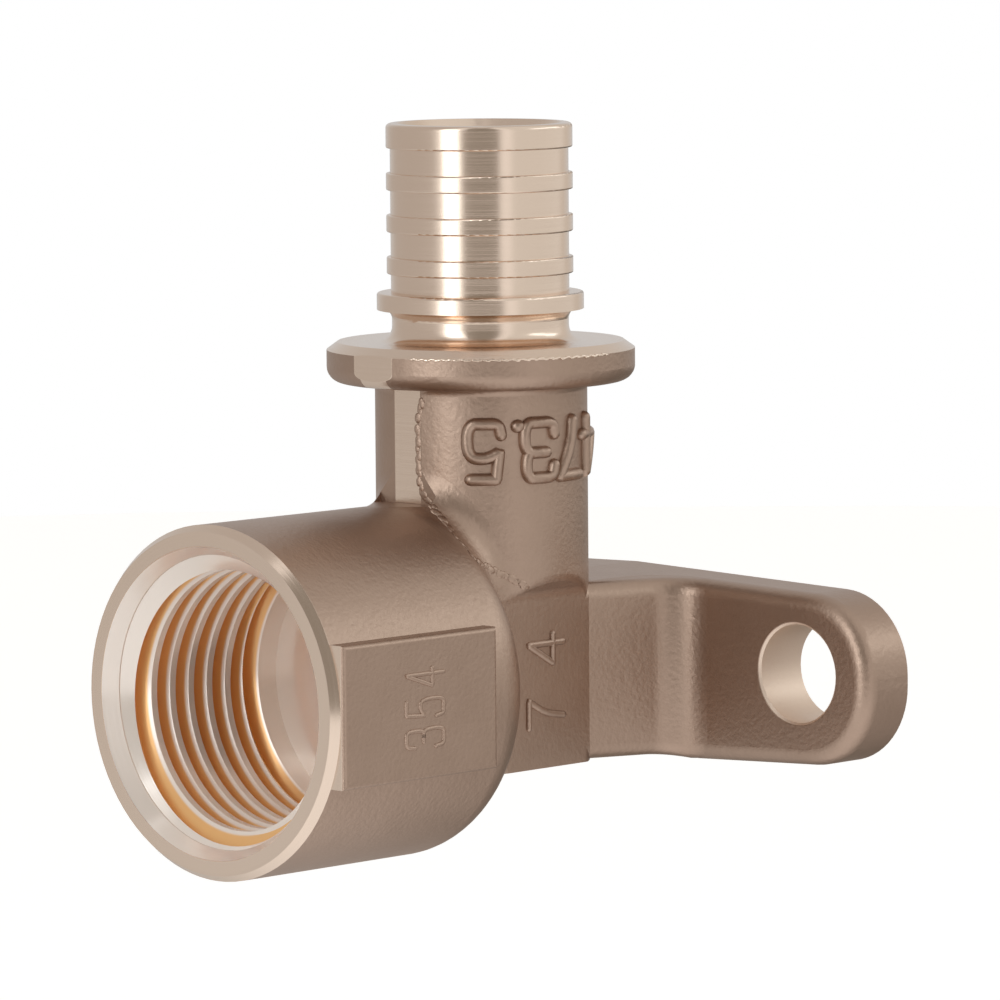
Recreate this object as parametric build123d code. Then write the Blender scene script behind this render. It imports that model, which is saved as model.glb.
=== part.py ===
"""Wall-plate compression elbow, cast in one piece and machined at both ends.

The origin is on the wall face, midway between the two screw holes and in line with the
threaded socket. +Z runs up the pipe tail, -Y runs out of the socket and +Y into the wall.
All sizes are in millimetres.
"""

from build123d import *
import os

os.makedirs("parts", exist_ok=True)

# Layout: where the two axes cross, and how far the socket reaches from that crossing
wall_to_pipe = 16.5
mouth_to_pipe = 27.7

# Pipe tail: a turned sleeve seat with grip ribs, above the collar
tail_length = 12.3
groove_dia = 13.0
rib_dia = 13.6
rib_count = 3
rib_pitch = 3.05
rib_width = 1.25
rib_edge = 0.12
end_rib_width = 1.8
end_rounding = 0.35
tail_bore_dia = 10.6
tail_bore_chamfer = 0.75
tail_bore_foot_depth = 4.8
tail_bore_foot_radius = 4.5

# Stop collar and the waist turned below it, above the flange
collar_dia = 15.1
collar_width = 1.25
collar_edge = 0.2
waist_dia = 12.9
waist_length = 2.3
waist_top_radius = 0.7
waist_foot_radius = 1.1

# Tool flange
flange_dia = 22.5
flange_top_height = 24.05
flange_thickness = 2.95
flange_chamfer_across = 0.8
flange_chamfer_down = 0.58
flange_under_radius = 1.15

# Cast neck between the flange and the body
neck_dia = 15.5
neck_flange_radius = 0.6
neck_foot_height = 7.1
neck_foot_radius = 1.1
neck_foot_edge = 0.8
neck_to_socket_radius = 2.8
neck_flat_width = 2.8
flange_flat_width = 3.74

# Threaded socket, bored for a parallel 1/2 inch pipe thread
socket_dia = 25.3
socket_back_to_pipe = 7.3
socket_back_radius = 3.2
mouth_chamfer_across = 0.45
mouth_chamfer_back = 0.6
thread_major_dia = 20.955
lead_in_dia = 22.25
lead_in_depth = 1.1
thread_end_depth = 13.3
thread_runout = 0.6
socket_floor_depth = 15.7
socket_floor_dia = 18.9
waterway_dia = 9.5

# Marking pad on the side of the socket
pad_face_to_axis = 12.95
pad_height = 10.1
pad_back_to_pipe = 11.8
pad_edge = 0.3

# Body behind the socket, flattened on both sides
body_width = 13.2
body_bottom_depth = 6.8
body_to_ear_radius = 3.4

# Fixing ears
hole_spacing = 40.0
hole_dia = 7.2
hole_edge = 0.2
ear_thickness = 4.5
ear_reach = 26.75
ear_root_top_height = 6.45
ear_root_reach = 9.2
ear_root_bottom_depth = 7.25
ear_root_radius = 4.0
ear_end_height = 12.1
ear_end_radius = 5.9
ear_end_drop = 0.35
ear_edge_radius = 1.2

neck_radius = neck_dia / 2
socket_radius = socket_dia / 2
flange_radius = flange_dia / 2
neck_foot_slope = neck_radius - body_width / 2
flange_under_height = flange_top_height - flange_thickness
collar_bottom_height = flange_top_height + waist_length
collar_top_height = collar_bottom_height + collar_width
pipe_end_height = collar_top_height + tail_length
pipe_axis = Axis((0, -wall_to_pipe, 0), (0, 0, 1))
socket_axis = Axis((0, 0, 0), (0, -1, 0))
mouth_y = -wall_to_pipe - mouth_to_pipe
socket_back_y = -wall_to_pipe - socket_back_to_pipe
touching = 0.001
overcut = 1.0


def rounded_face(corners):
    """Fill the closed outline whose corners are given as (across, along, corner radius)."""
    points = [(across, along) for across, along, _ in corners]
    radii = [radius for _, _, radius in corners]
    return make_face(FilletPolyline(*points, radius=radii, close=True))


def turned_about_pipe(corners):
    """Turn an outline of (radius, height, corner radius) about the pipe axis."""
    profile = Plane((0, -wall_to_pipe, 0), x_dir=(1, 0, 0), z_dir=(0, -1, 0)) * rounded_face(corners)
    return revolve(profile, axis=pipe_axis)


def turned_about_socket(corners):
    """Turn an outline of (radius, distance along Y, corner radius) about the socket axis."""
    return revolve(rounded_face(corners), axis=socket_axis)


def tail_outline():
    """Outline of the neck, flange, waist, collar and ribbed tail, from the axis outwards."""
    collar_radius = collar_dia / 2
    groove_radius = groove_dia / 2
    rib_radius = rib_dia / 2
    waist_radius = waist_dia / 2
    corners = [
        (0, -2 * socket_radius, 0),
        (neck_radius, -2 * socket_radius, 0),
        (neck_radius, flange_under_height, neck_flange_radius),
        (flange_radius, flange_under_height, flange_under_radius),
        (flange_radius, flange_top_height - flange_chamfer_down, 0),
        (flange_radius - flange_chamfer_across, flange_top_height, 0),
        (waist_radius, flange_top_height, waist_foot_radius),
        (waist_radius, collar_bottom_height, waist_top_radius),
        (collar_radius, collar_bottom_height, 0),
        (collar_radius, collar_top_height, collar_edge),
        (groove_radius, collar_top_height, 0),
    ]
    end_rib_bottom = pipe_end_height - end_rib_width
    for step in range(rib_count, 0, -1):
        rib_bottom = end_rib_bottom - step * rib_pitch
        corners += [
            (groove_radius, rib_bottom, 0),
            (rib_radius, rib_bottom, rib_edge),
            (rib_radius, rib_bottom + rib_width, rib_edge),
            (groove_radius, rib_bottom + rib_width, 0),
        ]
    corners += [
        (groove_radius, end_rib_bottom, 0),
        (rib_radius, end_rib_bottom, rib_edge),
        (rib_radius, pipe_end_height, end_rounding),
        (0, pipe_end_height, 0),
    ]
    return corners


def socket_barrel():
    """The socket as turned outside, still solid."""
    return turned_about_socket([
        (0, socket_back_y, 0),
        (socket_radius, socket_back_y, socket_back_radius),
        (socket_radius, mouth_y + mouth_chamfer_back, 0),
        (socket_radius - mouth_chamfer_across, mouth_y, 0),
        (0, mouth_y, 0),
    ])


def marking_pad():
    """Flat pad on one side of the socket, with its outer edges broken."""
    front_y = mouth_y + mouth_chamfer_back
    back_y = -wall_to_pipe - pad_back_to_pipe
    block = Pos(0, (front_y + back_y) / 2, 0) * Box(
        pad_face_to_axis,
        back_y - front_y,
        pad_height,
        align=(Align.MIN, Align.CENTER, Align.CENTER),
    )
    return fillet(block.faces().sort_by(Axis.X)[-1].edges(), pad_edge)


def joins_neck_to_socket(edge):
    """Tell whether an edge lies on the neck where the neck runs into the socket."""
    for part_way in (0.1, 0.5, 0.9):
        point = edge.position_at(part_way)
        across = (point.X**2 + (point.Y + wall_to_pipe) ** 2) ** 0.5
        if abs(across - neck_radius) > touching or abs(point.Z) > socket_radius:
            return False
    return True


def ends_neck_at_flat(edge):
    """Tell whether an edge is where the neck ends above one of the flats of the body."""
    for part_way in (0.1, 0.5, 0.9):
        point = edge.position_at(part_way)
        across = (point.X**2 + (point.Y + wall_to_pipe) ** 2) ** 0.5
        if abs(across - neck_radius) > touching or abs(point.Z - neck_foot_height) > neck_foot_slope:
            return False
    return True


def neck_into_socket():
    """Tail and socket blended together by the casting radius between them."""
    barrel = socket_barrel()
    crossing = turned_about_pipe(tail_outline()) + barrel
    crossing = fillet(crossing.edges().filter_by(joins_neck_to_socket), neck_to_socket_radius)
    below = Pos(0, 0, -body_bottom_depth) * Box(
        4 * socket_radius,
        4 * mouth_to_pipe,
        4 * socket_radius,
        align=(Align.CENTER, Align.CENTER, Align.MAX),
    )
    crossing = crossing - below - side_of_neck_foot(1) - side_of_neck_foot(-1)
    crossing = fillet(crossing.edges().filter_by(ends_neck_at_flat), neck_foot_edge)
    return crossing + barrel + marking_pad()


def side_of_neck_foot(side):
    """What is taken off one side of the neck below its foot, to leave the flat of the body."""
    flat_x = side * body_width / 2
    neck_x = side * neck_radius
    outline = rounded_face([
        (flat_x, -socket_dia, 0),
        (flat_x, neck_foot_height - neck_foot_slope, neck_foot_radius),
        (neck_x, neck_foot_height, 0),
        (2 * neck_x, neck_foot_height, 0),
        (2 * neck_x, -socket_dia, 0),
    ])
    return Pos(0, socket_back_y, 0) * extrude(Plane.XZ * outline, amount=-wall_to_pipe)


def on_front_rim(edge):
    """Tell whether an edge belongs to the rounded rim round the front of the body and ears."""
    box = edge.bounding_box()
    if box.size.X < touching and box.size.Y < touching:
        return False
    return socket_back_y - socket_back_radius + touching < box.max.Y < -touching


def body_and_ears():
    """Flat-sided body behind the socket, with a fixing ear on each side at the wall."""
    half_width = body_width / 2
    front_y = socket_back_y - socket_back_radius
    root_height = ear_root_top_height + ear_root_bottom_depth
    seen_from_above = rounded_face([
        (-ear_reach, 0, 0),
        (ear_reach, 0, 0),
        (ear_reach, -ear_thickness, 0),
        (half_width, -ear_thickness, body_to_ear_radius),
        (half_width, front_y, 0),
        (-half_width, front_y, 0),
        (-half_width, -ear_thickness, body_to_ear_radius),
        (-ear_reach, -ear_thickness, 0),
    ])
    blank = Pos(0, 0, -ear_root_bottom_depth) * extrude(seen_from_above, amount=root_height)

    end_top = ear_end_height / 2 - ear_end_drop
    end_bottom = -ear_end_height / 2 - ear_end_drop
    seen_from_front = Plane.XZ * rounded_face([
        (-ear_reach, end_top, ear_end_radius),
        (0, ear_root_top_height, 0),
        (ear_reach, end_top, ear_end_radius),
        (ear_reach, end_bottom, ear_end_radius),
        (ear_root_reach, -ear_root_bottom_depth, ear_root_radius),
        (half_width, -body_bottom_depth, ear_root_radius),
        (-half_width, -body_bottom_depth, ear_root_radius),
        (-ear_root_reach, -ear_root_bottom_depth, ear_root_radius),
        (-ear_reach, end_bottom, ear_end_radius),
    ])
    body = blank & extrude(seen_from_front, amount=-front_y)
    return fillet(body.edges().filter_by(on_front_rim), ear_edge_radius)


def tail_bore():
    """Bore down the tail, chamfered at its mouth and rounded where it meets the waterway."""
    bore_radius = tail_bore_dia / 2
    chamfer_radius = bore_radius + tail_bore_chamfer
    return turned_about_pipe([
        (0, -tail_bore_foot_depth, 0),
        (bore_radius, -tail_bore_foot_depth, tail_bore_foot_radius),
        (bore_radius, pipe_end_height - tail_bore_chamfer, 0),
        (chamfer_radius, pipe_end_height, 0),
        (chamfer_radius, pipe_end_height + overcut, 0),
        (0, pipe_end_height + overcut, 0),
    ])


def socket_bore():
    """Waterway, core hole, thread bore at its full diameter and the lead-in cone."""
    waterway_radius = waterway_dia / 2
    floor_radius = socket_floor_dia / 2
    thread_radius = thread_major_dia / 2
    lead_in_radius = lead_in_dia / 2
    floor_y = mouth_y + socket_floor_depth
    runout_y = mouth_y + thread_end_depth
    return turned_about_socket([
        (0, -wall_to_pipe, 0),
        (waterway_radius, -wall_to_pipe, 0),
        (waterway_radius, floor_y, 0),
        (floor_radius, floor_y, 0),
        (floor_radius, runout_y + thread_runout, 0),
        (thread_radius, runout_y, 0),
        (thread_radius, mouth_y + lead_in_depth, 0),
        (lead_in_radius, mouth_y, 0),
        (lead_in_radius, mouth_y - overcut, 0),
        (0, mouth_y - overcut, 0),
    ])


def screw_hole(side):
    """Hole through one ear, with its front edge broken."""
    hole_radius = hole_dia / 2
    edge_radius = hole_radius + hole_edge
    hole_x = side * hole_spacing / 2
    outline = rounded_face([
        (0, overcut, 0),
        (hole_radius, overcut, 0),
        (hole_radius, hole_edge - ear_thickness, 0),
        (edge_radius, -ear_thickness, 0),
        (edge_radius, -ear_thickness - overcut, 0),
        (0, -ear_thickness - overcut, 0),
    ])
    return Pos(hole_x, 0, 0) * revolve(outline, axis=socket_axis)


def parting_flat(radius, width, bottom, top):
    """What is ground off the front of a round so that a flat of the given width is left."""
    face_y = -wall_to_pipe - (radius**2 - (width / 2) ** 2) ** 0.5
    return Pos(0, face_y, bottom) * Box(
        2 * width,
        neck_radius,
        top - bottom,
        align=(Align.CENTER, Align.MAX, Align.MIN),
    )


elbow_body = neck_into_socket() + body_and_ears()
elbow_body -= tail_bore()
elbow_body -= socket_bore()
elbow_body -= screw_hole(1)
elbow_body -= screw_hole(-1)
elbow_body -= parting_flat(neck_radius, neck_flat_width, socket_radius, flange_under_height)
elbow_body -= parting_flat(flange_radius, flange_flat_width, flange_under_height, flange_top_height)
elbow_body.label = "elbow_body"
export_step(elbow_body, "parts/elbow_body.step")
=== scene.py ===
import math

import bmesh
import bpy
from mathutils import Matrix, Vector


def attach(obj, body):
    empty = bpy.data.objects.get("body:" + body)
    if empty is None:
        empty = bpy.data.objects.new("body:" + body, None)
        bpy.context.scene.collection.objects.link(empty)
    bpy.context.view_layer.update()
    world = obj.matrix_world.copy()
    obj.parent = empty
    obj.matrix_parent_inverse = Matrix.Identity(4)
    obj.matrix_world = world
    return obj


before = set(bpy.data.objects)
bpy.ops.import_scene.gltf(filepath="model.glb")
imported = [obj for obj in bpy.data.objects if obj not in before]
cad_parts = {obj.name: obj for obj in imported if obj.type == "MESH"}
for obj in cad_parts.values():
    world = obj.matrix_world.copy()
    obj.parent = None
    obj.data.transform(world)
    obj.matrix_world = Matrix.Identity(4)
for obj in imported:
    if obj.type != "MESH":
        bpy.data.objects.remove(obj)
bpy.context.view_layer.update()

scene = bpy.context.scene
MM = 0.001


# Cast and turned body.
# One gunmetal casting, tumbled until it is satin, then turned on the tail, the flange's top,
# the socket's mouth and the bores, and drilled through the ears.
PIPE_AXIS_Y = -16.5 * MM
RING_SPACING = 0.3 * MM
GRAIN_SIZE = 0.35 * MM
SWELL_SIZE = 3.0 * MM
SOCKET_END_Y = -28.3 * MM
SOCKET_WALL_RADIUS = 11.2 * MM
LEAD_IN_RADIUS = 11.12 * MM
MOUTH_FACE_Y = -44.18 * MM
MOUTH_CHAMFER_Y = -43.59 * MM
LEAD_IN_SLOPE = 1.1
# Radii where the bore's painted pale highlight turns into its painted golden glow.
PAINTED_PALE_CREST_RADIUS = 9.48 * MM
PAINTED_GLOW_GROOVE_RADIUS = 9.68 * MM
GROOVES_BEYOND_CONE = -36.25 * MM
THREAD_RELIEF_Y = -30.35 * MM
SCREW_HOLE_X = 20 * MM
SCREW_HOLE_REACH = 3.75 * MM
DRILLED_BEHIND_Y = -6 * MM
TURNED_ABOVE_Z = 23.47 * MM
TAIL_BORE_REACH = 5.6 * MM
NECK_FLAT_Y = -24.1 * MM
NECK_FLAT_HALF = 1.3 * MM
NECK_FLAT_FOOT_Z = 12.7 * MM
FLANGE_FLAT_Y = -27.58 * MM
FLANGE_FLAT_FOOT_Z = 20.0 * MM
CAST_ROUGHNESS = 0.36
TURNED_ROUGHNESS = 0.16
DRILLED_ROUGHER = 0.3
# A matt share in the bore, so that its painted pale colour lights it up.
PAINTED_LIGHT_MATT_SHARE_IN_BORE = 0.65


def linear(hex_colour, alpha=1.0):
    """Turn an sRGB hex colour into the linear values that a shader takes."""
    channels = [int(hex_colour[place:place + 2], 16) / 255 for place in (1, 3, 5)]
    return [c / 12.92 if c <= 0.04045 else ((c + 0.055) / 1.055) ** 2.4 for c in channels] + [alpha]


def add_node(tree, kind, settings, inputs):
    """Add one node, with its settings, and link or set the inputs that are given."""
    new = tree.nodes.new(kind)
    for name, value in settings.items():
        setattr(new, name, value)
    for name, value in inputs.items():
        if isinstance(value, bpy.types.NodeSocket):
            tree.links.new(value, new.inputs[name])
        else:
            new.inputs[name].default_value = value
    return new


def new_material(name):
    """Make an empty node material and return it with its tree and its surface socket."""
    material = bpy.data.materials.new(name)
    material.use_nodes = True
    tree = material.node_tree
    tree.nodes.clear()
    surface = tree.nodes.new("ShaderNodeOutputMaterial").inputs["Surface"]
    return material, tree, surface


def where(tree, *limits):
    """One where every value is on its side of its limit, and zero elsewhere."""
    share = 1.0
    for value, side, limit in limits:
        passed = add_node(tree, "ShaderNodeMath", {"operation": side}, {0: value, 1: limit})
        share = add_node(tree, "ShaderNodeMath", {"operation": "MULTIPLY"},
                         {0: share, 1: passed.outputs[0]}).outputs[0]
    return share


def bronze_finish(name, zones):
    """Gunmetal that is satin as cast, and bright with fine turning rings inside the zones."""
    material, tree, surface = new_material(name)
    place = add_node(tree, "ShaderNodeTexCoord", {}, {}).outputs["Object"]
    axes = add_node(tree, "ShaderNodeSeparateXYZ", {}, {0: place})
    x, y, z = axes.outputs[0], axes.outputs[1], axes.outputs[2]

    def distance_from(across, centre):
        moved = add_node(tree, "ShaderNodeVectorMath", {"operation": "SUBTRACT"}, {0: place, 1: centre})
        flat = add_node(tree, "ShaderNodeVectorMath", {"operation": "MULTIPLY"},
                        {0: moved.outputs[0], 1: across})
        length = add_node(tree, "ShaderNodeVectorMath", {"operation": "LENGTH"}, {0: flat.outputs[0]})
        return length.outputs["Value"]

    from_pipe = distance_from((1, 1, 0), (0, PIPE_AXIS_Y, 0))
    from_socket = distance_from((1, 0, 1), (0, 0, 0))
    in_socket = where(tree, (y, "LESS_THAN", SOCKET_END_Y))
    turned = zones(tree, x, y, z, from_pipe, from_socket)

    # Turning rings, about 0.3 mm apart, run round whichever axis the surface was turned on.
    along = add_node(tree, "ShaderNodeMix", {"data_type": "FLOAT"}, {0: in_socket, 2: z, 3: y})
    across = add_node(tree, "ShaderNodeMix", {"data_type": "FLOAT"},
                      {0: in_socket, 2: from_pipe, 3: from_socket})
    ring_place = add_node(tree, "ShaderNodeCombineXYZ", {}, {0: along.outputs[0], 1: across.outputs[0]})
    rings = add_node(tree, "ShaderNodeTexNoise", {"noise_dimensions": "2D"},
                     {"Vector": ring_place.outputs[0], "Scale": 1 / RING_SPACING, "Detail": 3.0,
                      "Roughness": 0.7})
    ring_bump = add_node(tree, "ShaderNodeBump", {},
                         {"Strength": 0.35, "Distance": 0.02 * MM, "Height": rings.outputs[0]})

    # Tumbling leaves the cast skin satin, with a fine grain over shallow swells.
    grain = add_node(tree, "ShaderNodeTexNoise", {},
                     {"Vector": place, "Scale": 1 / GRAIN_SIZE, "Detail": 3.0})
    swells = add_node(tree, "ShaderNodeTexNoise", {},
                      {"Vector": place, "Scale": 1 / SWELL_SIZE, "Detail": 2.0})
    swell_bump = add_node(tree, "ShaderNodeBump", {},
                          {"Strength": 0.5, "Distance": 0.05 * MM, "Height": swells.outputs[0]})
    grain_bump = add_node(tree, "ShaderNodeBump", {},
                          {"Strength": 0.8, "Distance": 0.04 * MM, "Height": grain.outputs[0],
                           "Normal": swell_bump.outputs[0]})
    normal = add_node(tree, "ShaderNodeMix", {"data_type": "VECTOR"},
                      {0: turned, 4: grain_bump.outputs[0], 5: ring_bump.outputs[0]})

    # Inside the socket the light that goes from wall to wall is painted into the colour: the crests get a
    # painted pale highlight and the grooves a painted golden glow. The cone that leads into the thread and
    # the flat floor beyond it get the painted pale highlight too.
    bore_painted_light_zone = where(tree, (from_socket, "LESS_THAN", LEAD_IN_RADIUS), (y, "LESS_THAN", SOCKET_END_Y),
                  (y, "GREATER_THAN", MOUTH_FACE_Y))
    painted_glow_groove_share = add_node(tree, "ShaderNodeMapRange", {"interpolation_type": "SMOOTHSTEP"},
                      {"Value": from_socket, "From Min": PAINTED_PALE_CREST_RADIUS,
                       "From Max": PAINTED_GLOW_GROOVE_RADIUS})
    from_cone = add_node(tree, "ShaderNodeMath", {"operation": "MULTIPLY_ADD"},
                         {0: y, 1: LEAD_IN_SLOPE, 2: from_socket})
    threaded = where(tree, (from_cone.outputs[0], "GREATER_THAN", GROOVES_BEYOND_CONE),
                     (y, "LESS_THAN", THREAD_RELIEF_Y))
    painted_groove_glow = add_node(tree, "ShaderNodeMath", {"operation": "MULTIPLY"},
                      {0: painted_glow_groove_share.outputs[0], 1: threaded})
    painted_bore_light_colour = add_node(tree, "ShaderNodeMix", {"data_type": "RGBA"},
                            {0: painted_groove_glow.outputs[0], 6: linear("#FFF4EA"), 7: linear("#FFC987")})
    turned_and_painted_bore_colour = add_node(tree, "ShaderNodeMix", {"data_type": "RGBA"},
                             {0: bore_painted_light_zone, 6: linear("#E8D3C1"), 7: painted_bore_light_colour.outputs[2]})
    cast_colour = add_node(tree, "ShaderNodeMix", {"data_type": "RGBA"},
                           {0: swells.outputs[0], 6: linear("#B69D8C"), 7: linear("#AD9483")})
    colour = add_node(tree, "ShaderNodeMix", {"data_type": "RGBA"},
                      {0: turned, 6: cast_colour.outputs[2], 7: turned_and_painted_bore_colour.outputs[2]})
    # Painted light: the bore is made partly matt, so that its painted pale colour brightens it.
    metallic = add_node(tree, "ShaderNodeMath", {"operation": "MULTIPLY_ADD"},
                        {0: bore_painted_light_zone, 1: -PAINTED_LIGHT_MATT_SHARE_IN_BORE, 2: 1.0})

    cast_rough = add_node(tree, "ShaderNodeMath", {"operation": "MULTIPLY_ADD"},
                          {0: grain.outputs[0], 1: 0.1, 2: CAST_ROUGHNESS})
    turned_rough = add_node(tree, "ShaderNodeMath", {"operation": "MULTIPLY_ADD"},
                            {0: rings.outputs[0], 1: 0.08, 2: TURNED_ROUGHNESS})
    # The drilled screw holes, near the wall, are duller than what was turned.
    drilled_rough = add_node(tree, "ShaderNodeMath", {"operation": "MULTIPLY_ADD"},
                             {0: where(tree, (y, "GREATER_THAN", DRILLED_BEHIND_Y)),
                              1: DRILLED_ROUGHER, 2: turned_rough.outputs[0]})
    rough = add_node(tree, "ShaderNodeMix", {"data_type": "FLOAT"},
                     {0: turned, 2: cast_rough.outputs[0], 3: drilled_rough.outputs[0]})
    shader = add_node(tree, "ShaderNodeBsdfPrincipled", {},
                      {"Base Color": colour.outputs[2], "Metallic": metallic.outputs[0],
                       "Roughness": rough.outputs[0], "Normal": normal.outputs[1]})
    tree.links.new(shader.outputs[0], surface)
    return material


def body_zones(tree, x, y, z, from_pipe, from_socket):
    """One where the casting has been turned or drilled, and zero where it is as cast."""
    off_middle = add_node(tree, "ShaderNodeMath", {"operation": "ABSOLUTE"}, {0: x}).outputs[0]
    hole_x = add_node(tree, "ShaderNodeMath", {"operation": "SUBTRACT"}, {0: off_middle, 1: SCREW_HOLE_X})
    hole_place = add_node(tree, "ShaderNodeCombineXYZ", {}, {0: hole_x.outputs[0], 2: z})
    from_hole = add_node(tree, "ShaderNodeVectorMath", {"operation": "LENGTH"}, {0: hole_place.outputs[0]})
    tail_bore = where(tree, (from_pipe, "LESS_THAN", TAIL_BORE_REACH), (z, "GREATER_THAN", 0.0))
    mouth = where(tree, (y, "LESS_THAN", MOUTH_CHAMFER_Y))
    socket_bore = where(tree, (from_socket, "LESS_THAN", SOCKET_WALL_RADIUS),
                        (y, "LESS_THAN", SOCKET_END_Y))
    screw_hole = where(tree, (from_hole.outputs["Value"], "LESS_THAN", SCREW_HOLE_REACH))
    neck_flat = where(tree, (y, "LESS_THAN", NECK_FLAT_Y), (off_middle, "LESS_THAN", NECK_FLAT_HALF),
                      (z, "GREATER_THAN", NECK_FLAT_FOOT_Z))
    flange_flat = where(tree, (y, "LESS_THAN", FLANGE_FLAT_Y), (z, "GREATER_THAN", FLANGE_FLAT_FOOT_Z))
    zones = where(tree, (z, "GREATER_THAN", TURNED_ABOVE_Z))
    for zone in (tail_bore, mouth, socket_bore, screw_hole, neck_flat, flange_flat):
        zones = add_node(tree, "ShaderNodeMath", {"operation": "MAXIMUM"}, {0: zones, 1: zone}).outputs[0]
    return zones


elbow_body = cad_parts["elbow_body"]
body_bronze = bronze_finish("tumbled_gunmetal_with_turned_ends", body_zones)
elbow_body.data.materials.clear()
elbow_body.data.materials.append(body_bronze)


# Socket thread.
# A parallel 1/2 inch pipe thread, cut into the turned bore of the socket; the ridge between
# its grooves is modelled as one helix that is rooted in the bore's wall.
THREAD_PITCH = 1.8143 * MM
THREAD_ROOT_RADIUS = 10.6 * MM
THREAD_CREST_RADIUS = 9.316 * MM
THREAD_ROOT_HALF = 0.86 * MM
THREAD_CREST_HALF = 0.28 * MM
THREAD_FIRST_Y = -43.1 * MM
THREAD_LAST_Y = -30.6 * MM
THREAD_SUNK = 0.2 * MM
RUN_OUT_SLOPE = 0.9
STEPS_A_TURN = 96
TURNS = 9
TURNS_AHEAD = 1.2
MERGE_DISTANCE = 0.0005 * MM
SHARP_ANGLE = math.radians(35)


def finished(piece_bm, name, material):
    """Turn a finished bmesh into an object that rides on the body."""
    bmesh.ops.remove_doubles(piece_bm, verts=piece_bm.verts, dist=MERGE_DISTANCE)
    bmesh.ops.recalc_face_normals(piece_bm, faces=piece_bm.faces)
    mesh = bpy.data.meshes.new(name)
    piece_bm.to_mesh(mesh)
    piece_bm.free()
    mesh.shade_smooth()
    mesh.set_sharp_from_angle(angle=SHARP_ANGLE)
    piece = bpy.data.objects.new(name, mesh)
    scene.collection.objects.link(piece)
    piece.data.materials.append(material)
    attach(piece, "root")
    return piece


def whole_zone(tree, x, y, z, from_pipe, from_socket):
    """One everywhere: the whole piece is turned."""
    return where(tree, (from_socket, "GREATER_THAN", 0.0))


def cast_zone(tree, x, y, z, from_pipe, from_socket):
    """Zero everywhere: the whole piece is as cast."""
    return where(tree, (from_socket, "LESS_THAN", 0.0))


turned_bronze = bronze_finish("turned_gunmetal", whole_zone)
cast_bronze = bronze_finish("tumbled_gunmetal", cast_zone)

thread = bmesh.new()
first_turn_y = THREAD_FIRST_Y - THREAD_PITCH * TURNS_AHEAD
ridge = [(THREAD_ROOT_RADIUS, -THREAD_ROOT_HALF), (THREAD_CREST_RADIUS, -THREAD_CREST_HALF),
         (THREAD_CREST_RADIUS, THREAD_CREST_HALF), (THREAD_ROOT_RADIUS, THREAD_ROOT_HALF)]
corners = [thread.verts.new((radius, first_turn_y + off, 0)) for radius, off in ridge]
thread.faces.new(corners)
bmesh.ops.spin(thread, geom=thread.verts[:] + thread.edges[:] + thread.faces[:],
               cent=(0, 0, 0), axis=(0, 1, 0), dvec=(0, THREAD_PITCH / STEPS_A_TURN, 0),
               angle=2 * math.pi * TURNS, steps=STEPS_A_TURN * TURNS,
               use_merge=False, use_duplicate=False)
for cut_y, side in ((THREAD_FIRST_Y - THREAD_SUNK, -1), (THREAD_LAST_Y, 1)):
    cut = bmesh.ops.bisect_plane(thread, geom=thread.verts[:] + thread.edges[:] + thread.faces[:],
                                 plane_co=(0, cut_y, 0), plane_no=(0, side, 0), clear_outer=True)
    rim = [part for part in cut["geom_cut"] if isinstance(part, bmesh.types.BMEdge)]
    bmesh.ops.holes_fill(thread, edges=rim, sides=0)
# The lead-in cone cuts the first turns back, and the last turn runs out into the relief.
for corner in thread.verts:
    radius = math.hypot(corner.co.x, corner.co.z)
    led_in = THREAD_ROOT_RADIUS - (corner.co.y - THREAD_FIRST_Y) * LEAD_IN_SLOPE
    run_out = THREAD_ROOT_RADIUS - (THREAD_LAST_Y - corner.co.y) * RUN_OUT_SLOPE
    wanted = min(max(radius, led_in, run_out), THREAD_ROOT_RADIUS + THREAD_SUNK)
    corner.co.x *= wanted / radius
    corner.co.z *= wanted / radius
finished(thread, "socket_thread", turned_bronze)


# Webs beside the body.
# Cast with the body: each side leans out at 15 degrees and sweeps into its ear, so that the
# corner between them is filled with a soft, wide hollow. The sizes here are in millimetres.
WEB_START_X = 6.6
WEB_START_Y = -12.2
WEB_LEAN = math.radians(15)
WEB_RADIUS = 3.3
WEB_EDGE = 1.2
WEB_SUNK = 3
WEB_BEHIND_FACE = 2
WEB_PAST_ARC = 0.3
BODY_TOP_Z = 6.43
TOP_FALL = 0.028
BODY_BOTTOM_Z = -6.75
BOTTOM_FALL = 0.173
EAR_BOTTOM_Z = -7.2
BOTTOM_RISE = 0.048
EAR_FACE_Y = -4.5
EAR_WAIST_X = 9.2
ARC_STEPS = 16
EDGE_STEPS = 6


def web_plan(inset):
    """Plan of one web in millimetres: its open side, set back by the inset, then back through the metal."""
    arc_start_y = EAR_FACE_Y - WEB_RADIUS * (1 - math.sin(WEB_LEAN))
    arc_start_x = WEB_START_X + (arc_start_y - WEB_START_Y) * math.tan(WEB_LEAN)
    centre_x = arc_start_x + WEB_RADIUS * math.cos(WEB_LEAN)
    centre_y = EAR_FACE_Y - WEB_RADIUS
    plan = [(WEB_START_X - inset * math.cos(WEB_LEAN), WEB_START_Y + inset * math.sin(WEB_LEAN))]
    for step in range(ARC_STEPS + 1):
        turn = WEB_LEAN + (math.pi / 2 - WEB_LEAN) * step / ARC_STEPS
        reach = WEB_RADIUS + inset
        plan.append((centre_x - reach * math.cos(turn), centre_y + reach * math.sin(turn)))
    sunk_x = WEB_START_X - WEB_SUNK
    sunk_y = EAR_FACE_Y + WEB_BEHIND_FACE
    return plan + [(centre_x + WEB_PAST_ARC, sunk_y), (sunk_x, sunk_y), (sunk_x, WEB_START_Y)]


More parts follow.
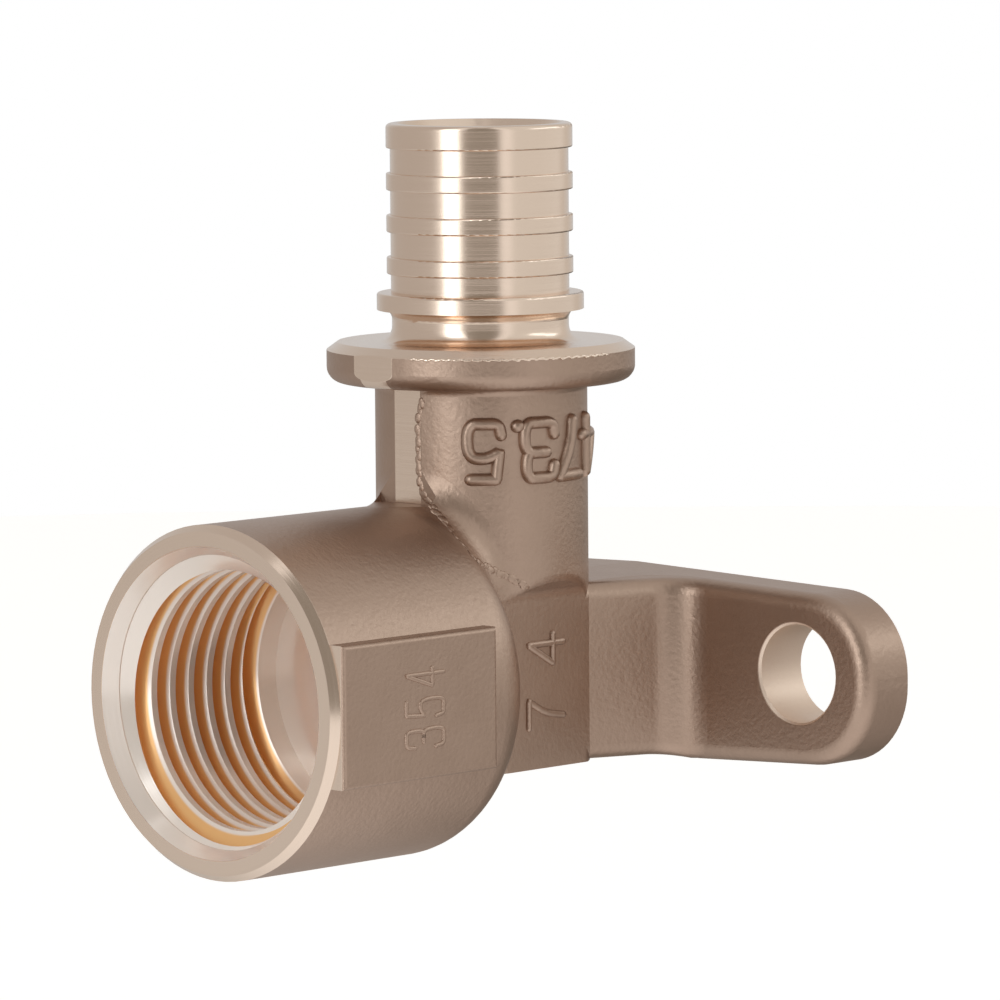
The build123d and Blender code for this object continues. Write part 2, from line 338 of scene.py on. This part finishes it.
def web_top(x):
    """Height of the top of the body and ear, in millimetres."""
    return BODY_TOP_Z - TOP_FALL * x


def web_bottom(x):
    """Height of the underside of the body and ear, in millimetres."""
    if x < EAR_WAIST_X:
        return BODY_BOTTOM_Z - BOTTOM_FALL * max(x - WEB_START_X, 0)
    return EAR_BOTTOM_Z + BOTTOM_RISE * (x - EAR_WAIST_X)


# Each ring is one height of the web: its rounded top edge, then its rounded bottom edge.
levels = []
for step in range(EDGE_STEPS + 1):
    turn = math.pi / 2 * step / EDGE_STEPS
    levels.append((web_top, WEB_EDGE * (1 - math.sin(turn)), WEB_EDGE * (math.cos(turn) - 1)))
for step in range(EDGE_STEPS + 1):
    turn = math.pi / 2 * step / EDGE_STEPS
    levels.append((web_bottom, WEB_EDGE * (1 - math.cos(turn)), WEB_EDGE * (1 - math.sin(turn))))

webs = bmesh.new()
for side in (1, -1):
    rings = []
    for height, inset, lift in levels:
        plan = web_plan(inset)
        rings.append([webs.verts.new((side * x * MM, y * MM, (height(x) + lift) * MM)) for x, y in plan])
    for ring, following in zip(rings, rings[1:]):
        for corner in range(len(ring)):
            beside = (corner + 1) % len(ring)
            webs.faces.new((ring[corner], ring[beside], following[beside], following[corner]))
    webs.faces.new(rings[0])
    webs.faces.new(list(reversed(rings[-1])))
finished(webs, "body_webs", cast_bronze)


# Raised numbers.
# Plain numbers that were cast with the body, in rounded strokes: large ones upside down round
# the neck, and small ones that read upwards on the marking pad and on the side of the body.
NECK_RADIUS = 7.75 * MM
NECK_FIGURES_TOP_Z = 18.55 * MM
NECK_FIGURES = (("4", 121.0), ("7", 98.0), ("3", 77.3), ("5", 45.7))
NECK_POINT_AZIMUTH = 64.0
PAD_FIGURES = (("3", -2.15), ("5", 0.0), ("4", 2.15))
SIDE_FIGURES = (("7", -2.7), ("4", 1.9))
PAD_FACE_X = 12.93 * MM
SIDE_FACE_X = 6.58 * MM
RING_CORNERS = 12
GLYPH_WIDTH = 0.66
GLYPHS = {
    "3": [[(0.0, 0.78), (0.05, 1.0), (0.36, 1.0), (0.64, 1.0), (0.64, 0.54), (0.36, 0.54),
           (0.2, 0.54)],
          [(0.36, 0.54), (0.68, 0.54), (0.68, 0.0), (0.36, 0.0), (0.05, 0.0), (0.0, 0.22)]],
    "4": [[(0.46, 0.0), (0.46, 1.0), (0.46, 1.0), (0.0, 0.3), (0.0, 0.3), (0.66, 0.3)]],
    "5": [[(0.6, 1.0), (0.1, 1.0), (0.1, 1.0), (0.04, 0.52), (0.04, 0.52), (0.3, 0.64),
           (0.66, 0.6), (0.66, 0.0), (0.32, 0.0), (0.05, 0.0), (0.0, 0.2)]],
    "7": [[(0.0, 1.0), (0.62, 1.0), (0.62, 1.0), (0.3, 0.5), (0.22, 0.0)]],
}


def cut_corners(path):
    """Round a path off by cutting its corners three times; a corner given twice stays sharp."""
    path = [Vector(point) for point in path]
    for _ in range(3):
        cut = [path[0]]
        for here, there in zip(path, path[1:]):
            cut += [here.lerp(there, 0.25), here.lerp(there, 0.75)]
        path = cut + [path[-1]]
    return [path[0]] + [there for here, there in zip(path, path[1:]) if (there - here).length > 0.001]


def raised_stroke(piece_bm, laid, half_width, rise):
    """Sweep a ridge with round ends along a list of points, each with the surface's normal there."""
    first, first_normal = laid[0]
    last, last_normal = laid[-1]
    out_of_start = (first - laid[1][0]).normalized() * half_width
    out_of_end = (last - laid[-2][0]).normalized() * half_width
    lean = [math.radians(angle) for angle in (80, 55, 28)]
    stations = [(first + out_of_start * math.sin(a), first_normal, math.cos(a)) for a in lean]
    stations += [(point, normal, 1.0) for point, normal in laid]
    stations += [(last + out_of_end * math.sin(a), last_normal, math.cos(a)) for a in reversed(lean)]
    rings = []
    for place_in_list, (centre, normal, share) in enumerate(stations):
        before = stations[max(place_in_list - 1, 0)][0]
        after = stations[min(place_in_list + 1, len(stations) - 1)][0]
        side = (after - before).cross(normal).normalized()
        ring = []
        for corner in range(RING_CORNERS):
            turn = 2 * math.pi * corner / RING_CORNERS
            ring.append(piece_bm.verts.new(centre + side * (half_width * share * math.cos(turn))
                                           + normal * (rise * share * math.sin(turn))))
        rings.append(ring)
    for ring, following in zip(rings, rings[1:]):
        for corner in range(RING_CORNERS):
            beside = (corner + 1) % RING_CORNERS
            piece_bm.faces.new((ring[corner], ring[beside], following[beside], following[corner]))
    piece_bm.faces.new(rings[0])
    piece_bm.faces.new(list(reversed(rings[-1])))


def raised_glyph(piece_bm, glyph, lay, width, height, half_width, rise):
    """Write one figure; lay() puts a point of the figure, in metres, on the surface."""
    for path in GLYPHS[glyph]:
        laid = [lay((u - GLYPH_WIDTH / 2) / GLYPH_WIDTH * width, v * height)
                for u, v in cut_corners(path)]
        raised_stroke(piece_bm, laid, half_width, rise)


def on_neck(azimuth):
    """Lay figures upside down round the neck, about the given azimuth from -Y towards +X."""
    def lay(u, v):
        turn = math.radians(azimuth) - u / NECK_RADIUS
        normal = Vector((math.sin(turn), -math.cos(turn), 0))
        return Vector((0, PIPE_AXIS_Y, NECK_FIGURES_TOP_Z - v)) + normal * NECK_RADIUS, normal
    return lay


def on_side(x, y, z):
    """Lay figures reading upwards on a face that looks along +X."""
    def lay(u, v):
        return Vector((x, y - v, z + u)), Vector((1, 0, 0))
    return lay


neck_figures = bmesh.new()
for figure, figure_azimuth in NECK_FIGURES:
    raised_glyph(neck_figures, figure, on_neck(figure_azimuth),
                 width=2.45 * MM, height=4.0 * MM, half_width=0.46 * MM, rise=0.52 * MM)
point_lay = on_neck(NECK_POINT_AZIMUTH)
point_ends = [point_lay(-0.05 * MM, 0.2 * MM), point_lay(0.05 * MM, 0.2 * MM)]
raised_stroke(neck_figures, point_ends, half_width=0.5 * MM, rise=0.5 * MM)
finished(neck_figures, "neck_number", cast_bronze)

pad_figures = bmesh.new()
for figure, figure_z in PAD_FIGURES:
    raised_glyph(pad_figures, figure, on_side(PAD_FACE_X, -33.75 * MM, figure_z * MM),
                 width=1.25 * MM, height=3.7 * MM, half_width=0.17 * MM, rise=0.14 * MM)
finished(pad_figures, "pad_number", cast_bronze)

side_figures = bmesh.new()
for figure, figure_z in SIDE_FIGURES:
    raised_glyph(side_figures, figure, on_side(SIDE_FACE_X, -15.0 * MM, figure_z * MM),
                 width=2.1 * MM, height=3.6 * MM, half_width=0.27 * MM, rise=0.26 * MM)
finished(side_figures, "body_number", cast_bronze)


# Burrs left by grinding and tumbling.
# Small uneven beads of the same metal: down the edge of the neck's ground strip and over the
# crease below it, and round the lower edge of the flange's chamfer.
STRIP_FACE_Y = -24.12 * MM
STRIP_TOP_Z = 20.1 * MM
STRIP_FOOT_Z = 13.5 * MM
STRIP_WAIST = 1.1 * MM
STRIP_FLARE = 0.3 * MM
STRIP_EDGE_NORMAL = Vector((0.3, -0.95, 0))
CREASE_START = Vector((1.4, -24.1, 13.4)) * MM
CREASE_TURN = Vector((8.4, -25.6, 9.1)) * MM
CREASE_END = Vector((7.2, -18.9, 6.5)) * MM
FLANGE_RIM_RADIUS = 11.26 * MM
FLANGE_RIM_Z = 23.45 * MM
DROP_WAY = Vector((-0.69, 0.71, -0.1)).normalized()
DROP_HEIGHT = 10 * MM
NECK_BEAD = (0.25 * MM, 0.08 * MM)
FLANGE_BEAD = (0.1 * MM, 0.07 * MM)
FLANGE_BEAD_AZIMUTHS = range(18, 100)
BEAD_HALF_LENGTH = 0.1 * MM
STRIP_BEADS = 33
CREASE_BEADS = 40
FOOT_BEADS = 24


def dropped(here, there, count):
    """Points along a line, dropped onto the body from its front right, each with the normal there."""
    laid = []
    for step in range(count):
        start = here.lerp(there, step / count) - DROP_WAY * DROP_HEIGHT
        landed, place, normal, _ = elbow_body.ray_cast(start, DROP_WAY)
        if landed:
            laid.append((place, normal))
    return laid


def burr(piece_bm, laid, half_width, rise):
    """Put an uneven bead at each point of a list, each with the surface's normal there."""
    for bead, ((here, normal), following) in enumerate(zip(laid, laid[1:])):
        along = (following[0] - here).normalized()
        uneven = 0.8 + 0.4 * math.sin(bead * 2.4) * math.sin(bead * 1.1 + 1)
        centre = here + normal.cross(along) * half_width * 0.5 * math.sin(bead * 1.7)
        ends = [(centre - along * BEAD_HALF_LENGTH, normal), (centre + along * BEAD_HALF_LENGTH, normal)]
        raised_stroke(piece_bm, ends, half_width * uneven, rise * uneven)


strip_edge = []
for step in range(STRIP_BEADS + 1):
    share = step / STRIP_BEADS
    strip_x = STRIP_WAIST + STRIP_FLARE * (2 * share - 1) ** 2
    strip_z = STRIP_TOP_Z + (STRIP_FOOT_Z - STRIP_TOP_Z) * share
    strip_edge.append((Vector((strip_x, STRIP_FACE_Y, strip_z)), STRIP_EDGE_NORMAL))
neck_beads = bmesh.new()
burr(neck_beads, strip_edge, *NECK_BEAD)
burr(neck_beads, dropped(CREASE_START, CREASE_TURN, CREASE_BEADS), *NECK_BEAD)
burr(neck_beads, dropped(CREASE_TURN, CREASE_END, FOOT_BEADS), *NECK_BEAD)
finished(neck_beads, "neck_burr", cast_bronze)

flange_edge = []
for azimuth in FLANGE_BEAD_AZIMUTHS:
    out = Vector((math.sin(math.radians(azimuth)), -math.cos(math.radians(azimuth)), 0))
    rim_place = out * FLANGE_RIM_RADIUS + Vector((0, PIPE_AXIS_Y, FLANGE_RIM_Z))
    flange_edge.append((rim_place, (out + Vector((0, 0, 0.5))).normalized()))
flange_beads = bmesh.new()
burr(flange_beads, flange_edge, *FLANGE_BEAD)
finished(flange_beads, "flange_burr", turned_bronze)


# Camera, floor and light.
# A long lens from the right front, a little above, and an even tent of white light.
CAMERA_AZIMUTH = math.radians(44.232)
CAMERA_ELEVATION = math.radians(5.703)
CAMERA_ROLL = math.radians(-0.469)
CAMERA_PLACE = Vector((353.391, -377.611, 62.760)) * MM
CAMERA_LENS = 250.177
FLOOR_RADIUS = 600 * MM
FLOOR_Z = -50 * MM
PAPER_GLOW = 0.48
PART_MIDDLE = Vector((0, -20, 10)) * MM
LAMP_DISTANCE = 0.6

back = Vector((math.sin(CAMERA_AZIMUTH) * math.cos(CAMERA_ELEVATION),
               -math.cos(CAMERA_AZIMUTH) * math.cos(CAMERA_ELEVATION), math.sin(CAMERA_ELEVATION)))
level = Vector((math.cos(CAMERA_AZIMUTH), math.sin(CAMERA_AZIMUTH), 0))
upward = back.cross(level)
right = level * math.cos(CAMERA_ROLL) + upward * math.sin(CAMERA_ROLL)
top = upward * math.cos(CAMERA_ROLL) - level * math.sin(CAMERA_ROLL)
camera_data = bpy.data.cameras.new("camera")
camera_data.sensor_width = 36.0
camera_data.lens = CAMERA_LENS
camera_data.clip_start = 0.01
camera = bpy.data.objects.new("camera", camera_data)
camera.matrix_world = Matrix((
    (right.x, top.x, back.x, CAMERA_PLACE.x),
    (right.y, top.y, back.y, CAMERA_PLACE.y),
    (right.z, top.z, back.z, CAMERA_PLACE.z),
    (0, 0, 0, 1)))
scene.collection.objects.link(camera)
scene.camera = camera

floor_bm = bmesh.new()
bmesh.ops.create_circle(floor_bm, cap_ends=True, segments=64, radius=FLOOR_RADIUS)
bmesh.ops.translate(floor_bm, verts=floor_bm.verts, vec=(0, 0, FLOOR_Z))
floor_mesh = bpy.data.meshes.new("floor")
floor_bm.to_mesh(floor_mesh)
floor_bm.free()
floor = bpy.data.objects.new("floor", floor_mesh)
scene.collection.objects.link(floor)


def ramp_by_azimuth(tree, direction, colours):
    """Colours by azimuth from -Y towards +X, in degrees from -180 to 180."""
    along = add_node(tree, "ShaderNodeSeparateXYZ", {}, {0: direction})
    turned_y = add_node(tree, "ShaderNodeMath", {"operation": "MULTIPLY"}, {0: along.outputs[1], 1: -1.0})
    azimuth = add_node(tree, "ShaderNodeMath", {"operation": "ARCTAN2"},
                       {0: along.outputs[0], 1: turned_y.outputs[0]})
    share = add_node(tree, "ShaderNodeMapRange", {},
                     {"Value": azimuth.outputs[0], "From Min": -math.pi, "From Max": math.pi})
    ramp = add_node(tree, "ShaderNodeValToRGB", {}, {0: share.outputs[0]})
    stops = ramp.color_ramp.elements
    while len(stops) < len(colours):
        stops.new(0.5)
    for stop, (stop_azimuth, _) in zip(stops, colours):
        stop.position = (stop_azimuth + 180) / 360
    for stop, (_, stop_colour) in zip(stops, colours):
        stop.color = linear(stop_colour)
    return ramp.outputs[0]


# The paper is white to the camera, apart from the part's soft shadow. To the metal it shows a painted glow,
# brightest in front of the socket and darker behind, that stands in for the lamps' light on it.
paper, paper_tree, paper_surface = new_material("white_paper")
paper_place = add_node(paper_tree, "ShaderNodeTexCoord", {}, {}).outputs["Object"]
paper_painted_glow = ramp_by_azimuth(paper_tree, paper_place, [
    (-180, "#787269"), (-100, "#C0BCB8"), (-44, "#D1D0CE"), (-5, "#F4F4F4"), (15, "#FFFFFF"),
    (75, "#FFFFFF"), (136, "#B6B2AE"), (180, "#787269")])
matt = add_node(paper_tree, "ShaderNodeBsdfDiffuse", {}, {"Color": linear("#E6E4E2")})
# Painted light: the paper glows to glossy rays, brighter in front and darker behind.
painted_glow = add_node(paper_tree, "ShaderNodeEmission", {}, {"Color": paper_painted_glow, "Strength": 1.0})
white = add_node(paper_tree, "ShaderNodeEmission", {}, {"Color": linear("#FFFFFF"), "Strength": PAPER_GLOW})
with_shadow = add_node(paper_tree, "ShaderNodeAddShader", {}, {0: white.outputs[0], 1: matt.outputs[0]})
ray = add_node(paper_tree, "ShaderNodeLightPath", {}, {})
in_metal = add_node(paper_tree, "ShaderNodeMixShader", {},
                    {0: ray.outputs["Is Glossy Ray"], 1: matt.outputs[0], 2: painted_glow.outputs[0]})
paper_mix = add_node(paper_tree, "ShaderNodeMixShader", {},
                     {0: ray.outputs["Is Camera Ray"], 1: in_metal.outputs[0], 2: with_shadow.outputs[0]})
paper_tree.links.new(paper_mix.outputs[0], paper_surface)
floor.data.materials.append(paper)

world = bpy.data.worlds.new("tent")
scene.world = world
world.use_nodes = True
sky = world.node_tree
sky.nodes.clear()
sky_out = sky.nodes.new("ShaderNodeOutputWorld")
# The tent's walls differ in brightness, and the camera stands in a dim gap at 44 degrees.
looked_at = add_node(sky, "ShaderNodeTexCoord", {}, {}).outputs["Generated"]
walls = ramp_by_azimuth(sky, looked_at, [
    (-180, "#D6D1CA"), (-150, "#D2D3D4"), (-125, "#D2D3D4"), (-90, "#C2BEBA"), (-16, "#C2BEBA"),
    (-3, "#FFFFFF"), (19, "#FFFFFF"), (26, "#948F88"), (67, "#948F88"), (73, "#FFFFFF"),
    (82, "#FFFFFF"), (90, "#E3E3E0"), (166, "#EAEAE8"), (180, "#D6D1CA")])
room = add_node(sky, "ShaderNodeBackground", {}, {"Color": walls, "Strength": 1.0})
seen = add_node(sky, "ShaderNodeBackground", {}, {"Color": linear("#FFFFFF"), "Strength": 1.0})
sky_ray = add_node(sky, "ShaderNodeLightPath", {}, {})
sky_mix = add_node(sky, "ShaderNodeMixShader", {},
                   {0: sky_ray.outputs["Is Camera Ray"], 1: room.outputs[0], 2: seen.outputs[0]})
sky.links.new(sky_mix.outputs[0], sky_out.inputs["Surface"])


def softbox(name, azimuth, elevation, width, height, colour, brightness):
    """A rectangular area light aimed at the part from the given side; a brightness of 1 looks white."""
    light = bpy.data.lights.new(name, "AREA")
    light.shape = "RECTANGLE"
    light.size = width
    light.size_y = height
    light.energy = brightness * math.pi * width * height
    light.color = colour
    lamp = bpy.data.objects.new(name, light)
    turn, rise = math.radians(azimuth), math.radians(elevation)
    direction = Vector((math.sin(turn) * math.cos(rise), -math.cos(turn) * math.cos(rise),
                        math.sin(rise)))
    lamp.location = direction * LAMP_DISTANCE + PART_MIDDLE
    lamp.rotation_euler = direction.to_track_quat("Z", "Y").to_euler()
    scene.collection.objects.link(lamp)


softbox("front_box", azimuth=8, elevation=5, width=0.22, height=0.9,
        colour=(0.88, 0.96, 1.0), brightness=1.9)
softbox("upper_box", azimuth=140, elevation=26, width=0.5, height=0.12,
        colour=(0.86, 0.96, 1.0), brightness=1.1)

scene.view_settings.view_transform = "Standard"
